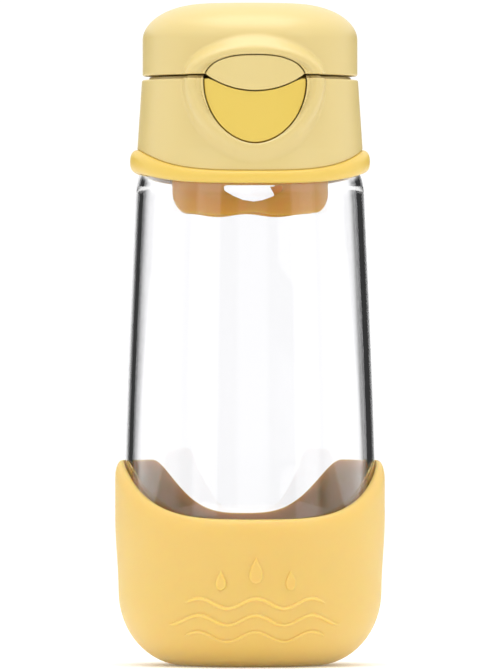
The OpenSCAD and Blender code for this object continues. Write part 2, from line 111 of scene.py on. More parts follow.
CAMERA_TURN = math.radians(-2.6)
CAMERA_FAR = 3.2
FRAME_SHARE = 0.988

scene = bpy.context.scene
lens_data = bpy.data.cameras.new("camera")
camera = bpy.data.objects.new("camera", lens_data)
scene.collection.objects.link(camera)
scene.camera = camera
lens_data.sensor_width = 36
lens_data.lens = 36 * CAMERA_FAR / (bottle_h / FRAME_SHARE)
camera.location = (math.sin(CAMERA_TURN) * CAMERA_FAR, -math.cos(CAMERA_TURN) * CAMERA_FAR, middle_z)
camera.rotation_euler = (math.pi / 2, 0, CAMERA_TURN)

FLOOR_SIZE = 6
floor_mesh = bpy.data.meshes.new("floor")
floor_half = FLOOR_SIZE / 2
floor_mesh.from_pydata(
    [(-floor_half, -floor_half, low.z), (floor_half, -floor_half, low.z),
     (floor_half, floor_half, low.z), (-floor_half, floor_half, low.z)], [], [(0, 1, 2, 3)])
floor = bpy.data.objects.new("floor", floor_mesh)
scene.collection.objects.link(floor)
# Opal acrylic lit from below: an even white that hardly shows its own surface.
floor_paint, floor_tree, floor_shader = new_material("backlit_white_acrylic")
floor_shader.inputs["Base Color"].default_value = linear("#f6f5f3")
floor_shader.inputs["Roughness"].default_value = 0.9
floor_shader.inputs["Emission Color"].default_value = (1, 1, 1, 1)
floor_shader.inputs["Emission Strength"].default_value = 0.12
floor_mesh.materials.append(floor_paint)


def soft_box(name, place, aim, size, power, colour="#ffffff"):
    """A rectangular studio light, turned towards a point."""
    data = bpy.data.lights.new(name, "AREA")
    data.shape = "RECTANGLE"
    data.size, data.size_y = size
    data.energy = power
    data.color = linear(colour)[:3]
    lamp = bpy.data.objects.new(name, data)
    lamp.location = place
    lamp.rotation_euler = (Vector(aim) - Vector(place)).to_track_quat("-Z", "Y").to_euler()
    scene.collection.objects.link(lamp)
    return lamp


bottle_middle = (0, 0, middle_z)
soft_box("top_box", (0, -0.15, 0.95), bottle_middle, (0.9, 0.7), 4.7)
soft_box("left_box", (-0.75, -0.75, 0.45), bottle_middle, (0.5, 0.9), 1)
soft_box("right_box", (0.85, -0.65, 0.4), bottle_middle, (0.5, 0.9), 1)

WHITE_WALL = 1.07
DARK_FLAG = 0.04
DARK_ROOM = 0.4
world = bpy.data.worlds.new("studio")
scene.world = world
world.use_nodes = True
world.node_tree.nodes.clear()
sky_way = add_node(world.node_tree, "ShaderNodeTexCoord").outputs["Generated"]
sky_x, sky_y, sky_z = add_node(world.node_tree, "ShaderNodeSeparateXYZ", None, {0: sky_way}).outputs


def sky_math(how, a, b=0.0):
    """One sum on the world's direction values, each a socket or a number."""
    values = {i: v for i, v in enumerate((a, b)) if isinstance(v, float)}
    sockets = {i: v for i, v in enumerate((a, b)) if not isinstance(v, float)}
    return add_node(world.node_tree, "ShaderNodeMath", {"operation": how, **values}, sockets).outputs[0]


def sky_step(value, near, far, start, end):
    """A soft step from start to end, between two values of a direction."""
    return add_node(world.node_tree, "ShaderNodeMapRange",
                    {"interpolation_type": "SMOOTHSTEP", 1: near, 2: far, 3: start, 4: end},
                    {0: value}).outputs[0]


sky_across = sky_math("ABSOLUTE", sky_x)
sky_level = sky_math("ABSOLUTE", sky_z)
sky_flag = sky_math("MULTIPLY", sky_math("MULTIPLY", sky_step(sky_across, 0.20, 0.30, 0, 1),
                                         sky_step(sky_across, 0.72, 0.82, 1, 0)),
                    sky_step(sky_level, 0.14, 0.22, 1, 0))
sky_room = sky_math("MULTIPLY", sky_step(sky_y, -0.4, -0.15, 1, 0), sky_step(sky_level, 0.12, 0.24, 1, 0))
sky_wall = add_node(world.node_tree, "ShaderNodeMapRange", {3: WHITE_WALL, 4: DARK_ROOM}, {0: sky_room})
sky_light = add_node(world.node_tree, "ShaderNodeMapRange", {4: DARK_FLAG},
                     {0: sky_flag, 3: sky_wall.outputs[0]})
sky = add_node(world.node_tree, "ShaderNodeBackground", {0: (1, 1, 1, 1)}, {1: sky_light.outputs[0]})
add_node(world.node_tree, "ShaderNodeOutputWorld", None, {0: sky.outputs[0]})
scene.view_settings.view_transform = "Standard"
scene.view_settings.look = "None"


# ---------------------------------------------------------------------------------------
# Silicone boot: one thick soft cup of satin silicone, pulled over the foot of the bottle
# by stretching. Compression moulded, so it has a fat rolled lip.
# ---------------------------------------------------------------------------------------
TURN = 240


def span(node):
    """The lowest and highest corner of a CAD node, in millimetres."""
    return tuple(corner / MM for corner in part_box(node))


def arc(cx, cz, a, b, start, end, count):
    """Points on an elliptical arc between two angles in degrees."""
    angles = [math.radians(start + (end - start) * i / count) for i in range(count + 1)]
    return [(cx + a * math.cos(t), cz + b * math.sin(t)) for t in angles]


def rounded(corners, count=5):
    """An outline through (across, up, radius) corners, each turned by a short arc about the
    centre that its radius gives."""
    out = []
    for i, (x, z, radius) in enumerate(corners):
        here = Vector((x, z))
        if radius == 0 or i in (0, len(corners) - 1):
            out.append(tuple(here))
            continue
        before = (Vector(corners[i - 1][:2]) - here).normalized()
        after = (Vector(corners[i + 1][:2]) - here).normalized()
        half = before.angle(after) / 2
        reach = radius / math.tan(half)
        centre = here + (before + after).normalized() * radius / math.sin(half)
        first, last = here + before * reach - centre, here + after * reach - centre
        for j in range(count + 1):
            out.append(tuple(centre + first.slerp(last, j / count) if first.angle(last) > 1e-4
                             else centre + first))
    return out


def around(count=TURN):
    """Even angles round the bottle, from its front."""
    return [2 * math.pi * j / count for j in range(count)]


def at_angle(radius, turn, z):
    """The point at an angle from the front, anticlockwise from above, in millimetres."""
    return (radius * math.sin(turn), -radius * math.cos(turn), z)


def turned(profile, angles=None):
    """Rings of points for a profile of (radius, height) turned round the axis."""
    return [[at_angle(r, t, z) for t in (angles or around())] for r, z in profile]


def add_piece(name, points, faces):
    """A mesh object from points in millimetres, with its faces turned outwards."""
    mesh = bpy.data.meshes.new(name)
    mesh.from_pydata([Vector(p) * MM for p in points], [], faces)
    shell = bmesh.new()
    shell.from_mesh(mesh)
    bmesh.ops.remove_doubles(shell, verts=shell.verts, dist=1e-7)
    bmesh.ops.dissolve_degenerate(shell, edges=shell.edges, dist=1e-7)
    bmesh.ops.recalc_face_normals(shell, faces=shell.faces)
    shell.to_mesh(mesh)
    shell.free()
    piece = bpy.data.objects.new(name, mesh)
    scene.collection.objects.link(piece)
    return piece


def skin(name, rings, loop=False):
    """A closed skin through rings of points. With loop the last ring joins the first,
    otherwise both end rings are closed at their middles."""
    count = len(rings[0])
    points = [p for ring in rings for p in ring]
    faces = []
    for i in range(len(rings) if loop else len(rings) - 1):
        a, b = i * count, (i + 1) % len(rings) * count
        for j in range(count):
            k = (j + 1) % count
            faces.append((a + j, a + k, b + k, b + j))
    for base in () if loop else (0, (len(rings) - 1) * count):
        points.append(tuple(sum((Vector(p) for p in points[base:base + count]), Vector()) / count))
        for j in range(count):
            faces.append((len(points) - 1, base + j, base + (j + 1) % count))
    return add_piece(name, points, faces)


def finish_piece(piece, material, body, slot, *stands_for, crease=50):
    """Shades a piece smooth, paints it and fixes it to its body."""
    piece.data.shade_smooth()
    piece.data.set_sharp_from_angle(angle=math.radians(crease))
    piece.data.materials.clear()
    piece.data.materials.append(material)
    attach(piece, body)
    if stands_for:
        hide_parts(*stands_for)
    return piece


def moulded(name, colour, shade, roughness, grain_mm, grain_depth, soft=0.0, sheen=0.0, deep_mm=1.5):
    """A moulded plastic or rubber: a fine grain from the mould's spark-eroded face, a slow
    drift in colour where the pigment flowed, and patches that are a little shinier."""
    material, tree, shader = new_material(name)
    place = add_node(tree, "ShaderNodeTexCoord").outputs["Object"]
    drift = add_node(tree, "ShaderNodeTexNoise", {"Scale": 1 / 0.035, "Detail": 3.0}, {"Vector": place})
    blend = add_node(tree, "ShaderNodeMix", {"data_type": "RGBA", 6: linear(colour), 7: linear(shade)},
                     {0: drift.outputs["Fac"]})
    grain = add_node(tree, "ShaderNodeTexNoise", {"Scale": 1 / (grain_mm * MM), "Detail": 2.0},
                     {"Vector": place})
    patch = add_node(tree, "ShaderNodeTexNoise", {"Scale": 1 / 0.012, "Detail": 4.0}, {"Vector": place})
    gloss = add_node(tree, "ShaderNodeMapRange", {3: roughness - 0.05, 4: roughness + 0.07},
                     {0: patch.outputs["Fac"]})
    bump = add_node(tree, "ShaderNodeBump", {"Strength": 0.35, "Distance": grain_depth * MM},
                    {"Height": grain.outputs["Fac"]})
    tree.links.new(blend.outputs[2], shader.inputs["Base Color"])
    tree.links.new(gloss.outputs[0], shader.inputs["Roughness"])
    tree.links.new(bump.outputs[0], shader.inputs["Normal"])
    shader.inputs["IOR"].default_value = 1.46
    shader.inputs["Specular IOR Level"].default_value = 0.85
    shader.inputs["Subsurface Weight"].default_value = soft
    shader.inputs["Subsurface Radius"].default_value = (1.0, 0.65, 0.25)
    shader.inputs["Subsurface Scale"].default_value = deep_mm * MM
    shader.inputs["Sheen Weight"].default_value = sheen
    shader.inputs["Sheen Roughness"].default_value = 0.5
    return material


# Compression-moulded silicone: light sinks a few millimetres in, so edges and lip glow,
# and the face has a satin bloom instead of a shine.
boot_silicone = moulded("satin_silicone", "#dcbb61", "#d9b75d", 0.46, 0.35, 0.02,
                        soft=1.0, sheen=0.08, deep_mm=3)

boot_low, boot_high = span("base_boot")
bottle_low, bottle_high = span("bottle_body")
boot_r = boot_high.x
bottle_r_low = bottle_high.x
boot_peak = boot_high.z
BOOT_GAP = 0.3
BOOT_FLOOR = 2.6
BOOT_SWELL_H = 22
PAN_R = 10
INNER_LIP = 0.35
FOOT_R = 20
FOOT_H = 22.5
BOOT_SWELL = 1.0
LIP_H = 5.0
LIP_IN = 2.1
DIP_FRONT = 17.3
DIP_FRONT_WIDE, DIP_FRONT_POWER = 95, 1.7
DIP_BACK = 16.6
DIP_BACK_WIDE, DIP_BACK_POWER = 53.5, 1.5
boot_low_r = boot_r - BOOT_SWELL
boot_in = bottle_r_low + BOOT_GAP


def dip(turn, wide, power):
    """One dip of the boot's edge: 1 in its middle, 0 from `wide` degrees outwards."""
    share = min(1, abs(turn) / wide)
    return (1 + math.cos(math.pi * share ** power)) / 2


def boot_edge(turn):
    """Height of the boot's edge at an angle from the front."""
    degrees = abs((math.degrees(turn) + 180) % 360 - 180)
    return (boot_peak - DIP_FRONT * dip(degrees, DIP_FRONT_WIDE, DIP_FRONT_POWER)
            - DIP_BACK * dip(180 - degrees, DIP_BACK_WIDE, DIP_BACK_POWER))


def boot_outside(z):
    """Outer radius of the boot at a height, below its lip."""
    if z < FOOT_H:
        return FOOT_R + (boot_low_r - FOOT_R) * math.sqrt(max(0, 1 - ((FOOT_H - z) / FOOT_H) ** 2))
    rise = min(1, (z - FOOT_H) / BOOT_SWELL_H)
    return boot_low_r + BOOT_SWELL * rise * rise * (3 - 2 * rise)


def boot_profile(turn):
    """The boot's section at an angle: foot, outside, rolled lip, inside and floor."""
    top = boot_edge(turn)
    lip_z = top - LIP_H
    corner = arc(FOOT_R, FOOT_H, boot_low_r - FOOT_R, FOOT_H, -90, 0, 16)
    wall = [(boot_outside(z), z) for z in (FOOT_H + (lip_z - FOOT_H) * i / 14 for i in range(1, 15))]
    edge_r = boot_outside(lip_z)
    lip = arc(edge_r - LIP_IN, lip_z, LIP_IN, LIP_H, 0, 90, 10)[1:]
    inner_z = top - INNER_LIP
    inner_lip = arc(boot_in + INNER_LIP, inner_z, INNER_LIP, INNER_LIP, 90, 180, 3)
    inner = [(boot_in, inner_z + (FOOT_H - inner_z) * i / 8) for i in range(1, 9)]
    pan = arc(FOOT_R, FOOT_H, boot_in - FOOT_R, FOOT_H - BOOT_FLOOR, 0, -90, 12)[1:]
    return ([(PAN_R, 0)] + corner + wall + lip + inner_lip + inner + pan
            + [(PAN_R, BOOT_FLOOR)])


sections = [boot_profile(t) for t in around()]
boot = skin("silicone_boot", [
    [at_angle(sections[j][i][0], t, sections[j][i][1]) for j, t in enumerate(around())]
    for i in range(len(sections[0]))])


def combine(piece, tool, how="DIFFERENCE"):
    """Cuts or joins a piece with a closed tool, which is then removed."""
    step = piece.modifiers.new("combine", "BOOLEAN")
    step.operation = how
    step.solver = "EXACT"
    step.object = tool
    bpy.context.view_layer.update()
    result = piece.evaluated_get(bpy.context.evaluated_depsgraph_get())
    piece.data = bpy.data.meshes.new_from_object(result)
    piece.modifiers.clear()
    bpy.data.objects.remove(tool)
    return piece


LINE_HALF = 0.6
LINE_UP = 0.6
LINE_SUNK = 0.14
WAVE_LONG = 17
WAVE_TALL = 1.5


def on_boot(x, z):
    """The point on the boot's front face at a place across and up."""
    return Vector((x, -math.sqrt(boot_outside(z) ** 2 - x * x), z))


def raised_line(name, path):
    """A soft raised line along a path of (across, up) points on the boot's front face."""
    rings = []
    last = len(path) - 1
    for i, (x, z) in enumerate(path):
        along = (on_boot(*path[min(i + 1, last)]) - on_boot(*path[max(i - 1, 0)])).normalized()
        out = (on_boot(x + 0.1, z) - on_boot(x - 0.1, z)).cross(on_boot(x, z + 0.1) - on_boot(x, z - 0.1))
        out.normalize()
        across = along.cross(out)
        full = min(1, (min(i, last - i) + 0.5) / 4) ** 0.5
        rings.append([tuple(on_boot(x, z) + across * LINE_HALF * full * math.cos(a)
                            + out * (LINE_UP * full * math.sin(a) - LINE_SUNK)) for a in around(12)])
    return skin(name, rings)


# Three waves, each (height, half its length).
for height, half in (9.5, 21), (14.5, 25.5), (19.5, 21):
    combine(boot, raised_line("wave", [
        (x, height + WAVE_TALL * math.cos(2 * math.pi * x / WAVE_LONG))
        for x in (-half + 2 * half * i / 80 for i in range(81))]), "UNION")
# Three solid drops above the waves, each a low cushion built up in rings.
DROP_TALL = 1.35
DROP_POINT = 1.3
for x, z, size in (0, 29.5, 2.9), (-10.5, 26.5, 2.2), (10.5, 26.5, 2.2):
    rings = []
    for share, up in (1, -0.4), (1, 0.2), (0.93, 0.4), (0.75, 0.5), (0.3, 0.54):
        outline = [(x + share * size * math.sin(a) * math.sin(a / 2) ** DROP_POINT,
                    z + share * size * DROP_TALL * math.cos(a)) for a in around(40)]
        rings.append([on_boot(*place) + Vector((0, -up, 0)) for place in outline])
    combine(boot, skin("drop", rings), "UNION")
finish_piece(boot, boot_silicone, "boot", "silicone_boot", "base_boot")


# ---------------------------------------------------------------------------------------
# Clear bottle: one injection-stretch-blown body of clear copolyester with a polished wall,
# a round neck and a single-start thread.
# ---------------------------------------------------------------------------------------
BOTTLE_FLARE = 3.4
TAPER_Z = 60
TAPER_POWER = 1.2
SHOULDER_Z = 146
SHOULDER_R = 6.5
SHOULDER_SOFT = 2.4
BOTTLE_WALL = 2.2
BOTTLE_BASE = 3
BASE_MIDDLE_R = 8
NECK_R = 26.4
NECK_WALL = 2
THREAD_PITCH = 4
THREAD_DEPTH = 1.1
THREAD_TURNS = 1.75
THREAD_UP = 2.7

bottle_r = bottle_r_low - BOTTLE_FLARE
shoulder_top = SHOULDER_Z + SHOULDER_R
thread_z = shoulder_top + THREAD_UP


def taper_r(z):
    """Outer radius of the bottle between the taper's start and the shoulder."""
    return bottle_r_low - BOTTLE_FLARE * ((z - TAPER_Z) / (SHOULDER_Z - TAPER_Z)) ** TAPER_POWER


shoulder_foot = SHOULDER_Z - SHOULDER_SOFT
taper = [(taper_r(z), z) for z in (TAPER_Z + (shoulder_foot - TAPER_Z) * i / 40 for i in range(41))]
base_corner = arc(FOOT_R, FOOT_H, bottle_r_low - FOOT_R, FOOT_H - bottle_low.z, -90, 0, 20)
shoulder = arc(bottle_r - SHOULDER_R, shoulder_foot, SHOULDER_R, SHOULDER_R + SHOULDER_SOFT, 4, 90, 18)
neck = rounded([(NECK_R + 1, shoulder_top, 0), (NECK_R, shoulder_top, 0.8), (NECK_R, bottle_high.z, 0.6),
                (NECK_R - NECK_WALL, bottle_high.z, 0.6), (NECK_R - NECK_WALL, shoulder_top, 0)])
inner_shoulder = arc(bottle_r - SHOULDER_R, shoulder_foot, SHOULDER_R - BOTTLE_WALL,
                     SHOULDER_R + SHOULDER_SOFT - BOTTLE_WALL, 90, 0, 18)
inner_taper = [(r - BOTTLE_WALL, z) for r, z in reversed(taper[:-1])]
inner_base = arc(FOOT_R, FOOT_H, bottle_r_low - FOOT_R - BOTTLE_WALL,
                 FOOT_H - bottle_low.z - BOTTLE_BASE, 0, -90, 20)
bottle_profile = ([(BASE_MIDDLE_R, bottle_low.z)] + base_corner + taper + shoulder + neck[1:]
                  + [(NECK_R - NECK_WALL, shoulder_top - BOTTLE_WALL + 1)]
                  + inner_shoulder + inner_taper + inner_base
                  + [(BASE_MIDDLE_R, bottle_low.z + BOTTLE_BASE)])

# Clear copolyester with a blow-moulded, polished face: bright and see-through, with a
# faint haze where the wall flowed unevenly.
clear_copolyester, clear_tree, clear_shader = new_material("clear_copolyester")
clear_place = add_node(clear_tree, "ShaderNodeTexCoord").outputs["Object"]
clear_flow = add_node(clear_tree, "ShaderNodeTexNoise", {"Scale": 1 / 0.03, "Detail": 2.0},
                      {"Vector": clear_place})
clear_haze = add_node(clear_tree, "ShaderNodeMapRange", {3: 0.0, 4: 0.02}, {0: clear_flow.outputs["Fac"]})
clear_tree.links.new(clear_haze.outputs[0], clear_shader.inputs["Roughness"])
clear_shader.inputs["Base Color"].default_value = linear("#fdfdfe")
clear_shader.inputs["IOR"].default_value = 1.54
clear_shader.inputs["Transmission Weight"].default_value = 1.0

bottle = skin("clear_bottle", turned(bottle_profile))
finish_piece(bottle, clear_copolyester, "bottle", "clear_copolyester", "bottle_body")


def helix(name, radius, start_z, pitch, turns, section, steps=48):
    """A ridge or a coil: a closed section of (outwards, upwards) points swept up a screw."""
    last = round(turns * steps)
    points, faces = [], []
    count = len(section)
    for i in range(last + 1):
        turn = 2 * math.pi * i / steps
        for out, up in section:
            points.append(((radius + out) * math.cos(turn), (radius + out) * math.sin(turn),
                           start_z + up + pitch * i / steps))
        for j in range(count if i < last else 0):
            k = (j + 1) % count
            faces.append((i * count + j, i * count + k, (i + 1) * count + k, (i + 1) * count + j))
    faces += [tuple(range(count)), tuple(last * count + j for j in range(count))]
    return add_piece(name, points, faces)


thread_section = [(-0.3, -0.85), (THREAD_DEPTH - 0.2, -0.5), (THREAD_DEPTH, -0.3),
                  (THREAD_DEPTH, 0.3), (THREAD_DEPTH - 0.2, 0.5), (-0.3, 0.85)]
bottle_thread = helix("bottle_thread", NECK_R, thread_z, THREAD_PITCH, THREAD_TURNS, thread_section)
finish_piece(bottle_thread, clear_copolyester, "bottle", "clear_copolyester")


# ---------------------------------------------------------------------------------------
# Gasket: a flat white silicone ring with rounded edges, squeezed between the neck and the
# cap's core.
# ---------------------------------------------------------------------------------------
# Moulded white silicone, a little translucent, with a dull dry face.
white_silicone = moulded("white_silicone", "#f3eee4", "#efe8da", 0.45, 0.4, 0.01, soft=0.3, sheen=0.1)

gasket_low, gasket_high = span("cap_gasket")
PLUG_GAP = 0.8
PLUG_WALL = 1.8
GASKET_FIT = 0.3
GASKET_EDGE = 0.4
plug_r = NECK_R - NECK_WALL - PLUG_GAP
gasket_hole = plug_r + GASKET_FIT
gasket_mid = (gasket_low.z + gasket_high.z) / 2
gasket_ring = rounded([(gasket_hole, gasket_mid, 0), (gasket_hole, gasket_high.z, GASKET_EDGE),
                       (gasket_high.x, gasket_high.z, GASKET_EDGE),
                       (gasket_high.x, gasket_low.z, GASKET_EDGE),
                       (gasket_hole, gasket_low.z, GASKET_EDGE), (gasket_hole, gasket_mid, 0)])[:-1]
gasket = skin("seal_gasket", turned(gasket_ring, around(120)), loop=True)
finish_piece(gasket, white_silicone, "cap_seal", "silicone_white", "cap_gasket")


# ---------------------------------------------------------------------------------------
# Cap core: the inner half of the cap in polypropylene, painted a deep orange-yellow that
# stands in for the shade and yellow interreflection inside the neck. A screw skirt
# grips the neck from outside and a long plug with a wavy, windowed rim hangs inside it.
# ---------------------------------------------------------------------------------------
# Injection-moulded polypropylene: semi-matt, and it glows where light comes through. Its amber
# base colour is painted shade, standing in for the dim, interreflected light inside the neck.
core_plastic = moulded("painted_shade_amber_polypropylene", "#ffb83e", "#fab038", 0.38, 0.3, 0.01, soft=1.0, deep_mm=4)

core_low, core_high = span("cap_core")
CORE_DECK = 2.4
PLUG_LOBE = 0.9
PLUG_CORNER_H = 7.4
PLUG_CORNER_SHARE = 0.2
PLUG_EDGE = 0.4
SKIRT_FIT = 0.4
DECK_OVER = 0.7
core_r = core_high.x
core_top = core_high.z
core_z = core_top - CORE_DECK
skirt_in = NECK_R + THREAD_DEPTH + SKIRT_FIT
skirt_r = core_r - DECK_OVER
skirt_z = shoulder_top + 1.2
plug_z = core_low.z
plug_corner = plug_r * PLUG_CORNER_SHARE


def plug_rim(turn):
    """Height of the plug's rim at an angle: two soft lobes and rounded corners."""
    x = abs(plug_r * math.sin(turn))
    side = plug_r - plug_corner
    if x <= side:
        return plug_z + PLUG_LOBE * math.cos(math.pi * x / side) ** 2
    over = min(1, (x - side) / plug_corner)
    return plug_z + PLUG_LOBE + PLUG_CORNER_H * (1 - math.sqrt(1 - over * over))


plug_rings = []
for share in [i / 24 for i in range(25)]:
    plug_rings.append([at_angle(plug_r, t, core_z + (plug_rim(t) + PLUG_EDGE - core_z) * share)
                       for t in around()])
outer_edge = arc(PLUG_EDGE, PLUG_EDGE, PLUG_EDGE, PLUG_EDGE, 180, 270, 3)[1:]
inner_edge = arc(PLUG_WALL - PLUG_EDGE, PLUG_EDGE, PLUG_EDGE, PLUG_EDGE, 270, 360, 3)
for inset, drop in outer_edge + inner_edge:
    plug_rings.append([at_angle(plug_r - inset, t, plug_rim(t) + drop) for t in around()])
for share in [i / 12 for i in range(1, 13)]:
    plug_rings.append([
        at_angle(plug_r - PLUG_WALL, t, plug_rim(t) + PLUG_EDGE + (core_z - PLUG_EDGE - plug_rim(t)) * share)
        for t in around()])
plug = skin("core_plug", plug_rings, loop=True)


def prism(name, outline, start, end, edge=0.0, along="Y"):
    """A closed straight prism along an axis, over an outline of points across the other
    two axes. With an edge, both ends are rounded over."""
    middle = sum((Vector(p) for p in outline), Vector((0, 0))) / len(outline)
    steps = [(start, edge), (start + 0.3 * edge, 0.3 * edge), (start + edge, 0),
             (end - edge, 0), (end - 0.3 * edge, 0.3 * edge), (end, edge)]
    rings = []
    for place, inset in steps if edge else [(start, 0), (end, 0)]:
        ring = []
        for point in outline:
            out = Vector(point) - middle
            a, b = Vector(point) - out.normalized() * inset
            ring.append({"X": (place, a, b), "Y": (a, place, b), "Z": (a, b, place)}[along])
        rings.append(ring)
    return skin(name, rings)


WINDOW_Z = 4.2
WINDOW_H = 4
WINDOW_LOW_HALF = 3.4
WINDOW_TOP_HALF = 8.6
PAST = 40
window_low = plug_z + WINDOW_Z
window_top = window_low + WINDOW_H
window = rounded([(0, window_low, 0), (WINDOW_LOW_HALF, window_low, 1.5), (WINDOW_TOP_HALF, window_top, 0.3),
                  (-WINDOW_TOP_HALF, window_top, 0.3), (-WINDOW_LOW_HALF, window_low, 1.5),
                  (0, window_low, 0)])[:-1]
combine(plug, prism("window_tool", window, -PAST, PAST))
finish_piece(plug, core_plastic, "cap", "core_plastic", "cap_core", crease=35)

THROAT_R = 6
core_ring = rounded([(THROAT_R + 1, core_z, 0), (skirt_in, core_z, 0.5), (skirt_in, skirt_z, 0.3),
                     (skirt_r, skirt_z, 0.3), (skirt_r, core_z, 0.3), (core_r, core_z, 0.3),
                     (core_r, core_top, 0.4), (THROAT_R, core_top, 0.4), (THROAT_R, core_z, 0.3),
                     (THROAT_R + 1, core_z, 0)])[:-1]


def block(name, low_corner, high_corner, edge=0.25):
    """A box between two corners, with its edges rounded over."""
    (x0, y0, z0), (x1, y1, z1) = low_corner, high_corner
    mid = (x0 + x1) / 2
    outline = rounded([(mid, y0, 0), (x1, y0, edge), (x1, y1, edge), (x0, y1, edge), (x0, y0, edge),
                       (mid, y0, 0)], 2)[:-1]
    return prism(name, outline, z0, z1, edge, "Z")


# A flat at the deck's front leaves room for the pressed button.
DECK_FLAT = 0.9
DECK_FLAT_HALF = 12
core = skin("core_deck", turned(core_ring, around(160)), loop=True)
combine(core, block("flat_tool", (-DECK_FLAT_HALF, -core_r - 1, core_z - 0.4),
                    (DECK_FLAT_HALF, DECK_FLAT - core_r, core_top + 0.4)))
finish_piece(core, core_plastic, "cap", "core_plastic")
core_thread = helix("core_thread", skirt_in, thread_z + THREAD_PITCH / 2, THREAD_PITCH, THREAD_TURNS,
                    [(-out, up) for out, up in thread_section])
finish_piece(core_thread, core_plastic, "cap", "core_plastic")


# ---------------------------------------------------------------------------------------
# Cap shell: the pale outer half of the cap, injection moulded in satin polypropylene and
# snapped over the core. It swells into a smooth rim round the button's window at the
# front, has a deck round the spout, and two lugs at the back for the hinge.
# ---------------------------------------------------------------------------------------
RING_Z = SHOULDER_Z - 0.7
RING_BAND = 3.8
RING_BAND_SIDE = 7
RING_RISE = 3.5
CAP_WALL = 2
CAP_DECK = 2.4
PART_GAP = 1.2
OVAL_W = 15.6
OVAL_UP = 8.6
OVAL_DOWN = 18.2
OVAL_DROP = 1.5
OVAL_TOP_POWER = 2.45
OVAL_LOW_POWER = 1.9
FACE_R = 60
BUTTON_T = 2.2
BUTTON_TRAVEL = 2.2
BUTTON_GAP = 0.35
RIM_FLAT = 1.3
RIM_SPREAD = 5.2
RIM_OUT = 0.25
EDGE = 0.5
BUTTON_DROP = 0.2

tab_low, tab_high = span("latch_tab")
button_low, button_high = span("button")
hem_r = bottle_r + 0.6
hem_in = bottle_r - 0.4
cap_r_low = bottle_r - 0.3
cap_r_top = cap_r_low - 1.4
cap_top = button_high.z + BUTTON_DROP
deck_z = cap_top - CAP_DECK
cover_z = cap_top + PART_GAP
ring_side_top = RING_Z + RING_RISE + RING_BAND_SIDE
oval_z = cap_top - OVAL_DROP
face_y = -tab_low.y
face_c = FACE_R - face_y


def wave(turn):
    """Saddle wave of the ring's edges: 0 at the front and back, 1 at the sides."""
    side = abs(math.sin(turn))
    return 0.15 * side ** 2 + 0.85 * side ** 4


def ring_bottom(turn):
    """Height of the ring's lower edge at an angle."""
    return RING_Z + RING_RISE * wave(turn)


def ring_top(turn):
    """Height of the ring's upper edge at an angle."""
    return RING_Z + RING_BAND + (RING_RISE + RING_BAND_SIDE - RING_BAND) * wave(turn)


def oval_share(x, z, grow=0.0):
    """1 on the oval's outline, less inside it, more outside."""
    up = z >= oval_z
    power = OVAL_TOP_POWER if up else OVAL_LOW_POWER
    half_h = (OVAL_UP if up else OVAL_DOWN) + grow
    return ((abs(x) / (OVAL_W + grow)) ** power + (abs(z - oval_z) / half_h) ** power) ** (1 / power)


def oval_outline(grow, count=128):
    """The oval's outline as (across, up) points, grown by an even amount."""
    out = []
    for i in range(count):
        t = 2 * math.pi * i / count
        x, z = math.cos(t), math.sin(t)
        reach = 1 / oval_share(x, oval_z + z, grow)
        out.append((x * reach, oval_z + z * reach))
    return out


def from_oval(x, z):
    """Distance outwards from the oval's outline."""
    share = oval_share(x, z)
    return math.hypot(x, z - oval_z) * (1 - 1 / share) if share > 0.01 else -OVAL_W


def face_radius(turn, out=0.0):
    """Distance from the axis to the gently curved front face, at an angle."""
    side = face_c * math.sin(turn)
    return math.sqrt((FACE_R + out) ** 2 - side * side) - face_c * math.cos(turn)


def with_rim(base, turn, z):
    """A round wall's radius, swollen towards the front face near the oval."""
    facing = math.cos(turn)
    if facing < 0.5:
        return base
    far = from_oval(base * math.sin(turn), z)
    step = min(1, max(0, (far - RIM_FLAT) / RIM_SPREAD))
    rise = (1 + math.cos(math.pi * step)) / 2
    soft = max(0, EDGE - max(0, far))
    roll = EDGE - math.sqrt(EDGE * EDGE - soft * soft)
    return base + (face_radius(turn, RIM_OUT) - base) * rise - (roll if abs(far) < EDGE * 2 else 0)


def cap_base_r(z):
    """Radius of the cap's wall without its rim, at a height."""
    foot = RING_Z + RING_BAND
    if z < ring_side_top:
        return hem_r + (cap_r_low - hem_r) * (z - foot) / (ring_side_top - foot)
    return cap_r_low + (cap_r_top - cap_r_low) * (z - ring_side_top) / (cap_top - ring_side_top)


FRONT = math.radians(50)
lid_angles = ([-FRONT + 2 * FRONT * i / 170 for i in range(170)]
              + [FRONT + (2 * math.pi - 2 * FRONT) * i / 110 for i in range(110)])
SPOUT_HOLE = 11
HEM_H = 1
SEAM = 0.35

cap_rings = []
for share in [i / 70 for i in range(71)]:
    ring = []
    for t in lid_angles:
        foot = ring_top(t) + SEAM
        z = foot + (cap_top - EDGE - foot) * share
        ring.append(at_angle(with_rim(cap_base_r(z), t, z), t, z))
    cap_rings.append(ring)
for inset, rise in [(EDGE - x, z) for x, z in arc(0, 0, EDGE, EDGE, 0, 90, 4)[1:]]:
    cap_rings.append([at_angle(with_rim(cap_base_r(cap_top), t, cap_top) - inset, t, cap_top - EDGE + rise)
                      for t in lid_angles])

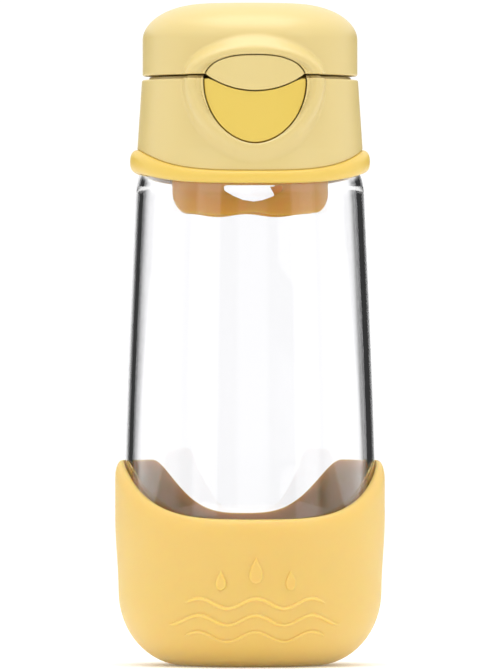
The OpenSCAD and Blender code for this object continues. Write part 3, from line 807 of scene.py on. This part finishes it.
# A low lip stands on the deck inside the parting gap and keeps splashes out.
LIP_INSET = 1.7
LIP_T = 1.3
LIP_TALL = 0.8
LIP_EDGE = 0.25
deck_edge = [math.hypot(*p[:2]) for p in cap_rings[-1]]
for inset, rise in ((LIP_INSET, 0), (LIP_INSET, LIP_TALL - LIP_EDGE), (LIP_INSET + LIP_EDGE, LIP_TALL),
                    (LIP_INSET + LIP_T - LIP_EDGE, LIP_TALL), (LIP_INSET + LIP_T, LIP_TALL - LIP_EDGE),
                    (LIP_INSET + LIP_T, 0)):
    cap_rings.append([at_angle(r - inset, t, cap_top + rise) for r, t in zip(deck_edge, lid_angles)])
for share in (0.3, 0.6, 0.85):
    cap_rings.append([at_angle(r + (SPOUT_HOLE + EDGE - r) * share, t, cap_top)
                      for r, t in zip(deck_edge, lid_angles)])
cap_in = cap_r_low - CAP_WALL
hem_top = shoulder_top + HEM_H
cap_inside = (arc(SPOUT_HOLE + EDGE, cap_top - EDGE, EDGE, EDGE, 90, 180, 4)
              + [(SPOUT_HOLE, deck_z), (cap_in - 2, deck_z), (cap_base_r(deck_z) - CAP_WALL, deck_z - 1),
                 (cap_in, hem_top + 3)])
cap_rings += turned(cap_inside, lid_angles)
hem_ring = []
for t in lid_angles:
    above = ring_top(t) > shoulder_top
    hem_ring.append(at_angle(cap_in if ring_top(t) >= shoulder_top else hem_in, t,
                             max(ring_top(t) + 0.6, hem_top) if above else hem_top))
cap_rings.append(hem_ring)
for inset, rise in ((-0.9, 0.35), (-0.6, 0.08), (-0.3, 0.0)):
    cap_rings.append([at_angle(cap_base_r(ring_top(t)) + inset, t, ring_top(t) + rise) for t in lid_angles])
cap = skin("cap_shell_moulding", cap_rings, loop=True)


def face_depth(x, depth):
    """Y of the gently curved front face, moved inwards by a depth."""
    return face_c - math.sqrt((FACE_R - depth) ** 2 - x * x)


PLATE_STEPS = (0.12, 0.3, 0.5, 0.7, 0.85, 0.94)


def plate(name, outline, centre, front, back, edge=0.4):
    """A curved plate over an outline of (across, up) points, with a rolled front edge.
    front and back give Y at a point."""
    cx, cz = centre

    def inset(point, share=1.0, by=0.0):
        x, z = point[0] - cx, point[1] - cz
        keep = share - by / max(1e-6, math.hypot(x, z))
        return cx + x * keep, cz + z * keep

    rings = [[inset(p, s) for p in outline] for s in PLATE_STEPS + (1.0,)]
    rings = [[(x, back(x, z), z) for x, z in ring] for ring in rings]
    for inward, depth in [(edge - x, edge - z) for x, z in arc(0, 0, edge, edge, 0, 90, 4)]:
        ring = [inset(p, by=inward) for p in outline]
        rings.append([(x, front(x, z) + depth, z) for x, z in ring])
    for s in reversed(PLATE_STEPS):
        ring = [inset(p, s * (1 - edge / OVAL_W)) for p in outline]
        rings.append([(x, front(x, z), z) for x, z in ring])
    return skin(name, rings)


FAR_FRONT = -45
BUTTON_ROOM = 0.5
combine(cap, plate("window_tool", oval_outline(0), (0, oval_z - 4), lambda x, z: FAR_FRONT,
                   lambda x, z: face_depth(x, BUTTON_T + BUTTON_TRAVEL + BUTTON_ROOM), edge=0.1))

SLOT_GAP = 1.6
VENT_HOLE_R = 1.2
VENT_Y = 18
catch_low, catch_high = span("cover_catch")
combine(cap, block("slot_tool", (catch_low.x - 1, catch_low.y - SLOT_GAP, deck_z - 1),
                   (catch_high.x + 1, catch_high.y + SLOT_GAP - 0.2, cap_top + 1)))
combine(cap, prism("vent_tool", [(VENT_HOLE_R * math.cos(t), VENT_Y + VENT_HOLE_R * math.sin(t))
                                 for t in around(32)], deck_z - 1, cap_top + 1, 0, "Z"))

KNUCKLE_R = 2.8
KNUCKLE_IN = 5
KNUCKLE_MID = 11
LUG_GAP = 0.3
PIN_FIT = 0.05
pin_low, pin_high = span("hinge_pin")
hinge_y = (pin_low.y + pin_high.y) / 2
hinge_z = (pin_low.z + pin_high.z) / 2
pin_r = (pin_high.z - pin_low.z) / 2
pin_half = pin_high.x


def on_hinge(name, radius, x0, x1):
    """A cylinder on the hinge's axis."""
    return prism(name, [(hinge_y + radius * math.cos(t), hinge_z + radius * math.sin(t))
                        for t in around(64)], x0, x1, 0, "X")


combine(cap, on_hinge("cap_relief", KNUCKLE_R + LUG_GAP, -pin_half - LUG_GAP, pin_half + LUG_GAP))
WEB_DEEP = 2.3
web_in = cap_r_top - WEB_DEEP
cap_web = (arc(hinge_y, hinge_z, KNUCKLE_R, KNUCKLE_R, 180, 0, 14)
           + rounded([(hinge_y + KNUCKLE_R, hinge_z, 0), (hinge_y + KNUCKLE_R, hinge_z - 4.4, 2.5),
                      (hinge_y - 0.6, hinge_z - 7, 1.5), (web_in, hinge_z - 7, 0)])[1:]
           + [(web_in, hinge_z - 1.5)])
for side in (-1, 1):
    x0, x1 = sorted((side * KNUCKLE_IN, side * KNUCKLE_MID))
    combine(cap, prism("cap_lug", cap_web, x0, x1, 0.3, "X"), "UNION")
combine(cap, on_hinge("bore_tool", pin_r + PIN_FIT, -pin_half, pin_half))

# Injection-moulded polypropylene with a fine sparked face: pale, satin, softly shaded.
pale_satin = moulded("pale_satin_polypropylene", "#d1bc7b", "#cfb976", 0.36, 0.3, 0.012, soft=0.12)
finish_piece(cap, pale_satin, "cap", "shell_plastic", "cap_shell", crease=35)


# ---------------------------------------------------------------------------------------
# Collar ring: a separate soft band in deeper yellow, snapped on under the cap. It is low
# at the front and back and climbs at the sides, and its face is rounded like a cord.
# ---------------------------------------------------------------------------------------
# The same polypropylene with more pigment and a slightly smoother face.
ring_yellow = moulded("deep_yellow_ring", "#dbba4f", "#d8b64a", 0.38, 0.3, 0.008, soft=0.15)

RING_IN_GAP = 0.3
RING_SEAT = 0.3
ring_in = bottle_r + RING_IN_GAP
ring_r = span("collar_ring")[1].x


def ring_section(turn):
    """The ring's section at an angle: a full rounded face and a flat back."""
    foot, top = ring_bottom(turn), ring_top(turn)
    seat = cap_base_r(top) - RING_SEAT
    half, middle = (top - foot) / 2, (top + foot) / 2
    face = []
    for i in range(19):
        a = math.radians(-90 + 10 * i)
        swell = abs(math.cos(a)) ** 0.8
        rise = math.copysign(abs(math.sin(a)) ** 0.85, a)
        face.append((seat + (ring_r - seat) * swell, middle + half * rise))
    return face + [(seat - 0.2, top - 0.1), (ring_in, top - 0.6), (ring_in, foot + 0.5),
                   (seat - 0.2, foot + 0.1)]


ring_angles = around(300)
ring_sections = [ring_section(t) for t in ring_angles]
ring = skin("collar_ring_band", [
    [at_angle(ring_sections[j][i][0], t, ring_sections[j][i][1]) for j, t in enumerate(ring_angles)]
    for i in range(len(ring_sections[0]))], loop=True)
finish_piece(ring, ring_yellow, "cap", "ring_plastic", "collar_ring")


# ---------------------------------------------------------------------------------------
# Spout and valves: a soft translucent silicone spout whose flange is clamped under a
# screwed-in retainer, a duckbill flow valve below the core, and a mushroom vent valve.
# ---------------------------------------------------------------------------------------
# Soft moulded silicone: milky, light passes into it, dull face.
spout_silicone = moulded("translucent_silicone", "#f4efe3", "#efe9db", 0.42, 0.4, 0.01,
                         soft=0.45, sheen=0.08)
# Pale polypropylene for the parts inside: a plain satin moulding.
liner_plastic = moulded("pale_yellow_liner", "#f1dd9f", "#eed898", 0.42, 0.3, 0.01, soft=0.12)

spout_low, spout_high = span("spout")
valve_low, valve_high = span("flow_valve")
vent_low, vent_high = span("vent_valve")
retainer_low, retainer_high = span("spout_retainer")
SPOUT_R = 9.2
SPOUT_HOLE_R = 2.4
FLANGE_T = 1.8
spout_top = spout_high.z

spout_outline = rounded([
    (THROAT_R, core_top + 2, 0), (THROAT_R, core_top, 0.3), (spout_high.x, core_top, 0.5),
    (spout_high.x, core_top + FLANGE_T, 0.6), (SPOUT_R, core_top + FLANGE_T, 0.3),
    (SPOUT_R, deck_z + 1, 1), (SPOUT_R - 0.5, deck_z + CAP_DECK + 1, 2), (SPOUT_R + 0.2, spout_top - 9, 3),
    (SPOUT_R - 0.6, spout_top - 5, 4), (SPOUT_R - 2.2, spout_top - 1.4, 1.8),
    (SPOUT_R - 3.6, spout_top, 1.2),
    (SPOUT_HOLE_R, spout_top, 0.5), (SPOUT_HOLE_R, spout_top - 4, 0.6), (THROAT_R, spout_top - 8, 2),
    (THROAT_R, core_top + 2, 0)])[:-1]
spout = skin("drinking_spout", turned(spout_outline, around(120)), loop=True)
finish_piece(spout, spout_silicone, "cap", "silicone_spout", "spout")

HUB_WALL = 1.5
hub_in = SPOUT_R + 0.1
hub_r = hub_in + HUB_WALL
hub_z = retainer_low.z
retainer_outline = rounded([
    (hub_in, hub_z + 2, 0), (hub_in, hub_z, 0.3), (retainer_high.x, hub_z, 0.4),
    (retainer_high.x, hub_z + FLANGE_T, 0.5), (hub_r, hub_z + FLANGE_T, 0.5), (hub_r, retainer_high.z, 0.4),
    (hub_in, retainer_high.z, 0.3), (hub_in, hub_z + 2, 0)])[:-1]
retainer = skin("spout_retainer_ring", turned(retainer_outline, around(120)), loop=True)
finish_piece(retainer, liner_plastic, "cap", "liner_plastic", "spout_retainer")

VALVE_FLANGE = 1.6
VALVE_BORE = 4.8
valve_foot = valve_low.z
flange_z = core_z - VALVE_FLANGE
valve_outline = rounded([
    (1.2, valve_foot, 0), (3.2, valve_foot + 1, 1), (6.4, flange_z, 1), (valve_high.x, flange_z, 0.3),
    (valve_high.x, core_z, 0.3), (VALVE_BORE, core_z, 0.3), (VALVE_BORE, core_z - 2, 1),
    (0.8, core_z - 10, 0)])
flow_valve = skin("duckbill_valve", turned(valve_outline, around(96)))
finish_piece(flow_valve, white_silicone, "cap", "silicone_white", "flow_valve")

STEM_R = 1.1
STEM_HEAD_R = 1.9
UMBRELLA_T = 0.8
vent_y = (vent_low.y + vent_high.y) / 2
umbrella_z = vent_low.z + UMBRELLA_T
vent_outline = rounded([
    (0.5, vent_low.z, 0), (vent_high.x, vent_low.z, 0.3), (vent_high.x, umbrella_z, 0.3),
    (STEM_R, umbrella_z, 0.1), (STEM_R, core_top, 0.1), (STEM_HEAD_R, core_top, 0.2),
    (STEM_HEAD_R, vent_high.z, 0.35), (0.5, vent_high.z, 0)])
vent_rings = [[(x, y + vent_y, z) for x, y, z in ring] for ring in turned(vent_outline, around(48))]
finish_piece(skin("mushroom_valve", vent_rings), white_silicone, "cap", "silicone_white", "vent_valve")


# ---------------------------------------------------------------------------------------
# Push button and latch: a deep yellow button in the oval, with a tongue into the white
# acetal latch. The latch slides in its guide and two coil springs push it forwards.
# ---------------------------------------------------------------------------------------
# The ring's yellow again, in a smoother moulding that fingers polish.
button_yellow = moulded("deep_yellow_button", "#d6ba51", "#d3b64b", 0.34, 0.3, 0.008, soft=0.12)
# Natural acetal: hard, slippery and slightly waxy white.
white_acetal = moulded("white_acetal", "#f2efe8", "#ece8df", 0.32, 0.25, 0.006, soft=0.2)

TAB_SAG = 5.1
TAB_EDGE_IN = 0.4
tab_edge_r = ((OVAL_W - TAB_EDGE_IN) ** 2 + TAB_SAG ** 2) / (2 * TAB_SAG)
tab_edge_z = cover_z - TAB_SAG + tab_edge_r


def cut_outline(centre, inside, count=160):
    """The outline of a region seen from a point in it, as (across, up) points."""
    out = []
    for i in range(count):
        t = 2 * math.pi * i / count
        near, far = 0.0, 40.0
        for _ in range(30):
            half = (near + far) / 2
            point = (centre[0] + half * math.cos(t), centre[1] + half * math.sin(t))
            near, far = (half, far) if inside(*point) else (near, half)
        out.append((centre[0] + near * math.cos(t), centre[1] + near * math.sin(t)))
    return out


def in_button(x, z):
    """True inside the button's face: the oval below the tab's curved edge."""
    return (oval_share(x, z, -BUTTON_GAP) < 1 and z < cap_top - BUTTON_DROP
            and math.hypot(x, z - tab_edge_z) > tab_edge_r + BUTTON_GAP / 2)


def in_tab(x, z):
    """True inside the tab's face: the oval above its own curved edge."""
    return (oval_share(x, z, -BUTTON_GAP) < 1
            and math.hypot(x, z - tab_edge_z) < tab_edge_r - BUTTON_GAP / 2)


BUTTON_DISH = 0.3
LATCH_HALF = 4.8
button_middle = (0, oval_z - 9)
button = plate("push_button", cut_outline(button_middle, in_button), button_middle,
               lambda x, z: face_depth(x, BUTTON_DISH), lambda x, z: face_depth(x, BUTTON_T))

guide_low, guide_high = span("latch_guide")
latch_low, latch_high = span("button_latch")
latch_z = latch_low.z
LATCH_T = 1.6
tongue_y = latch_low.y

combine(button, block("tongue", (-LATCH_HALF, face_depth(0, BUTTON_T - 0.4), latch_z),
                      (LATCH_HALF, tongue_y, latch_z + LATCH_T), 0.15), "UNION")
finish_piece(button, button_yellow, "button", "button_plastic", "button", crease=35)

GUIDE_T = 1.2
GUIDE_TRAY = 0.5
guide = block("latch_guide_tray", (guide_low.x, guide_low.y, core_top),
              (guide_high.x, guide_high.y, core_top + GUIDE_TRAY), 0.15)
wall_z = core_top + 0.1
wall_y = guide_high.y - 0.3
for low_corner, high_corner in (
        ((guide_low.x, guide_high.y - GUIDE_T, wall_z), tuple(guide_high)),
        ((guide_low.x, guide_low.y, wall_z), (guide_low.x + GUIDE_T, wall_y, guide_high.z)),
        ((guide_high.x - GUIDE_T, guide_low.y, wall_z), (guide_high.x, wall_y, guide_high.z))):
    combine(guide, block("guide_wall", low_corner, high_corner, 0.2), "UNION")
finish_piece(guide, white_acetal, "cap", "latch_acetal", "latch_guide", crease=35)

NOSE_L = 2
POST_T = 1.8
LEDGE_H = 1.4
WING_L = 3
SPRING_X = 9
SEAT_HALF = 2.6
SEAT_T = 1.5
SEAT_H = 4.2
HOOK_ROOM = 0.35
nose_y = catch_high.y + 0.2
wing_back = nose_y + 0.3
wing_front = wing_back - WING_L
seat_y = wing_back - SEAT_T
seat_top = latch_z + SEAT_H
post_y = nose_y + NOSE_L
post_back = post_y + POST_T
hook_z = catch_low.z + LEDGE_H + HOOK_ROOM
latch = block("sliding_latch", (-LATCH_HALF, tongue_y, latch_z), (LATCH_HALF, post_back, latch_z + LATCH_T))
for low_corner, high_corner in (
        ((latch_low.x, wing_front, latch_z), (latch_high.x, wing_back, latch_z + LATCH_T)),
        ((SPRING_X - SEAT_HALF, seat_y, latch_z), (SPRING_X + SEAT_HALF, wing_back, seat_top)),
        ((-SPRING_X - SEAT_HALF, seat_y, latch_z), (-SPRING_X + SEAT_HALF, wing_back, seat_top)),
        ((-LATCH_HALF, post_y, latch_z), (LATCH_HALF, post_back, latch_high.z)),
        ((-LATCH_HALF, nose_y, hook_z), (LATCH_HALF, post_y + 0.4, latch_high.z))):
    combine(latch, block("latch_part", low_corner, high_corner, 0.2), "UNION")
finish_piece(latch, white_acetal, "button", "latch_acetal", "button_latch", crease=35)


def drawn_steel(name, colour, roughness, turned_mm):
    """Bright drawn steel: fine streaks left by the die and a few duller patches."""
    material, tree, shader = new_material(name)
    place = add_node(tree, "ShaderNodeTexCoord").outputs["Object"]
    streak = add_node(tree, "ShaderNodeTexNoise", {"Scale": 1 / (turned_mm * MM), "Detail": 3.0},
                      {"Vector": place})
    dull = add_node(tree, "ShaderNodeTexNoise", {"Scale": 1 / 0.004, "Detail": 2.0}, {"Vector": place})
    gloss = add_node(tree, "ShaderNodeMapRange", {3: roughness - 0.08, 4: roughness + 0.12},
                     {0: dull.outputs["Fac"]})
    bump = add_node(tree, "ShaderNodeBump", {"Strength": 0.4, "Distance": 0.004 * MM},
                    {"Height": streak.outputs["Fac"]})
    tree.links.new(gloss.outputs[0], shader.inputs["Roughness"])
    tree.links.new(bump.outputs[0], shader.inputs["Normal"])
    shader.inputs["Base Color"].default_value = linear(colour)
    shader.inputs["Metallic"].default_value = 1.0
    return material


# Bright drawn spring wire: a clean metal shine with fine die marks along it.
spring_steel = drawn_steel("drawn_spring_steel", "#c3c6ca", 0.26, 0.12)


def coil(name, radius, wire, length, turns, matrix):
    """A coil spring of round wire along its own Z, then placed by a matrix."""
    section = [(wire * math.cos(a), wire * math.sin(a)) for a in (math.pi * i / 5 for i in range(10))]
    piece = helix(name, radius, 0, length / turns, turns, section, 40)
    piece.data.transform(matrix)
    return piece


coil_low, coil_high = span("button_springs")
SPRING_WIRE = 0.25
SPRING_TURNS = 5
SPRING_PLAY = 0.05
spring_r = (coil_high.z - coil_low.z) / 2 - SPRING_WIRE
spring_z = (coil_high.z + coil_low.z) / 2
spring_long = coil_high.y - coil_low.y - 2 * (SPRING_WIRE + SPRING_PLAY)
for side in (-1, 1):
    spring_end = Vector((side * SPRING_X, coil_high.y - SPRING_WIRE - SPRING_PLAY, spring_z)) * MM
    place = Matrix.Translation(spring_end) @ Matrix.Rotation(math.pi / 2, 4, "X")
    spring = coil("button_spring_left" if side < 0 else "button_spring_right",
                  spring_r, SPRING_WIRE, spring_long, SPRING_TURNS, place)
    finish_piece(spring, spring_steel, "cap", "spring_steel", *(["button_springs"] if side < 0 else []))
    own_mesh(spring)


# ---------------------------------------------------------------------------------------
# Flip cover: the pale domed lid. It carries the other half of the oval's rim, a recess
# for the tab, a liner inside with the spout's stopper, and the catch that the latch holds.
# ---------------------------------------------------------------------------------------
CROWN_W = 19
CROWN_H = 11
COVER_WALL = 2
LINER_GAP = 0.15
LINER_WALL = 1.5
cover_low, cover_high = span("flip_cover")
cover_r = cover_high.x
cover_top = cover_high.z
crown_z = cover_top - CROWN_H


def dome(inset, foot, steps=30):
    """The cover's dome moved inwards by an inset, as (radius, height) from foot to crown."""
    wall = [(cover_r - inset, foot + (crown_z - foot) * i / steps) for i in range(steps + 1)]
    crown = arc(cover_r - CROWN_W, crown_z, CROWN_W - inset, CROWN_H - inset, 0, 90, steps)[1:]
    return wall + crown + [((cover_r - CROWN_W) * share, cover_top - inset) for share in (0.6, 0.25)]


lid_rings = turned(list(reversed(dome(COVER_WALL, cover_z + 0.3, 16))), lid_angles)
lid_rings += turned([(cover_r - COVER_WALL + 0.3, cover_z)], lid_angles)
for rise, inset in [(EDGE + z, EDGE - x) for x, z in arc(0, 0, EDGE, EDGE, -90, 0, 4)]:
    lid_rings.append([at_angle(with_rim(cover_r, t, cover_z) - inset, t, cover_z + rise)
                      for t in lid_angles])
for r, z in dome(0, cover_z + EDGE, 42)[1:]:
    lid_rings.append([at_angle(with_rim(r, t, z), t, z) for t in lid_angles])
lid = skin("flip_lid", lid_rings)

recess = cut_outline((0, oval_z + 5), lambda x, z: oval_share(x, z) < 1 and z > cover_z - 1)
combine(lid, plate("recess_tool", recess, (0, oval_z + 5), lambda x, z: FAR_FRONT,
                   lambda x, z: face_depth(x, BUTTON_T + 0.05), edge=0.1))
combine(lid, on_hinge("lid_relief", KNUCKLE_R + LUG_GAP, -KNUCKLE_MID - LUG_GAP, KNUCKLE_MID + LUG_GAP))
lid_web_in = cover_r - 6
lid_web = (arc(hinge_y, hinge_z, KNUCKLE_R, KNUCKLE_R, 180, 360, 14)
           + rounded([(hinge_y + KNUCKLE_R, hinge_z, 0), (hinge_y + KNUCKLE_R, hinge_z + 3.6, 3),
                      (hinge_y - 1.5, hinge_z + 6, 2), (lid_web_in, hinge_z + 6, 0)])[1:]
           + [(lid_web_in, hinge_z + 1)])
inside_rings = turned(
    [(cover_r - COVER_WALL + 0.05, cover_z - 6), (cover_r - COVER_WALL + 0.05, crown_z)], around(160))
for side in (-1, 1):
    x0, x1 = sorted((side * (KNUCKLE_MID + LUG_GAP), side * pin_half))
    lug = prism("lid_lug", lid_web, x0, x1, 0.3, "X")
    combine(lug, skin("inside_tool", inside_rings))
    combine(lid, lug, "UNION")
combine(lid, on_hinge("bore_tool", pin_r + PIN_FIT, -pin_half - 1, pin_half + 1))
finish_piece(lid, pale_satin, "cover", "cover_plastic", "flip_cover", crease=35)

# The cover's plastic, a shade lighter and smoother where the thumb lifts it.
tab_plastic = moulded("pale_yellow_tab", "#d4c080", "#d2bd7b", 0.33, 0.3, 0.008, soft=0.12)
tab_middle = (0, oval_z + 4)
tab = plate("lift_tab", cut_outline(tab_middle, in_tab), tab_middle,
            lambda x, z: face_depth(x, 0.05), lambda x, z: face_depth(x, BUTTON_T))
finish_piece(tab, tab_plastic, "cover", "tab_plastic", "latch_tab", crease=35)

liner_low, liner_high = span("cover_liner")
stopper_low, stopper_high = span("spout_stopper")
STOPPER_R = 9
BOSS_R = STOPPER_R + 1.5
LINER_EDGE = 0.3
boss_z = spout_top + 0.4
boss_in = STOPPER_R + 0.1
liner_foot = liner_low.z + LINER_EDGE
liner_out = dome(COVER_WALL + LINER_GAP, liner_foot, 14)
liner_in = [p for p in dome(COVER_WALL + LINER_GAP + LINER_WALL, liner_foot, 14) if p[0] > BOSS_R + 0.5]
ceiling_z = liner_in[-1][1]
liner_outline = (list(reversed(liner_out))
                 + [(liner_out[0][0] - LINER_EDGE, liner_low.z), (liner_in[0][0] + LINER_EDGE, liner_low.z)]
                 + liner_in
                 + rounded([(BOSS_R + 0.2, ceiling_z, 0), (BOSS_R, boss_z, 0.4), (boss_in, boss_z, 0.4),
                            (boss_in, ceiling_z - 0.3, 0.2), (2, ceiling_z - 0.3, 0)]))
liner = skin("lid_liner", turned(liner_outline, around(160)))
combine(liner, on_hinge("liner_relief", KNUCKLE_R + LUG_GAP, -pin_half - 8, pin_half + 8))
finish_piece(liner, liner_plastic, "cover", "liner_plastic", "cover_liner", crease=35)

stopper_foot = spout_top + 0.2
tip_r = SPOUT_HOLE_R - 0.4
stopper_outline = rounded([
    (0.6, stopper_low.z, 0), (tip_r, stopper_low.z, 0.6), (tip_r, stopper_foot, 0.3),
    (STOPPER_R, stopper_foot, 0.6), (STOPPER_R, stopper_high.z, 0.3), (2, stopper_high.z, 0)])
finish_piece(skin("silicone_stopper", turned(stopper_outline, around(96))), white_silicone, "cover",
             "silicone_white", "spout_stopper")

CATCH_T = 1.5
catch = block("cover_hook", tuple(catch_low), (catch_high.x, catch_low.y + CATCH_T, catch_high.z))
combine(catch, block("hook_ledge", (catch_low.x, catch_low.y + 0.4, catch_low.z),
                     (catch_high.x, catch_high.y, catch_low.z + LEDGE_H)), "UNION")
finish_piece(catch, liner_plastic, "cover", "liner_plastic", "cover_catch", crease=35)


# ---------------------------------------------------------------------------------------
# Hinge: a steel pin pressed through the lugs, and a torsion spring of round wire wound
# round its middle, which flips the cover open when the latch lets go.
# ---------------------------------------------------------------------------------------
# Ground stainless pin: smoother and brighter than the wire, with fine grinding marks.
pin_steel = drawn_steel("ground_pin_steel", "#c9ccd0", 0.22, 0.2)

pin_outline = rounded([(0.4, -pin_half, 0), (pin_r, -pin_half, 0.3), (pin_r, pin_half, 0.3),
                       (0.4, pin_half, 0)])
pin_rings = [[(z, hinge_y + x, hinge_z + y) for x, y, z in ring]
             for ring in turned(pin_outline, around(48))]
finish_piece(skin("hinge_pin_rod", pin_rings), pin_steel, "cap", "pin_steel", "hinge_pin")

twist_low, twist_high = span("hinge_spring")
TWIST_WIRE = 0.3
TWIST_TURNS = 7
twist_r = (twist_high.z - twist_low.z) / 2 - TWIST_WIRE
twist_long = twist_high.x - twist_low.x - 2 * TWIST_WIRE
place = (Matrix.Translation(Vector((twist_low.x + TWIST_WIRE, hinge_y, hinge_z)) * MM)
         @ Matrix.Rotation(math.pi / 2, 4, "Y"))
finish_piece(coil("hinge_torsion_spring", twist_r, TWIST_WIRE, twist_long, TWIST_TURNS, place), spring_steel,
             "cap", "spring_steel", "hinge_spring")
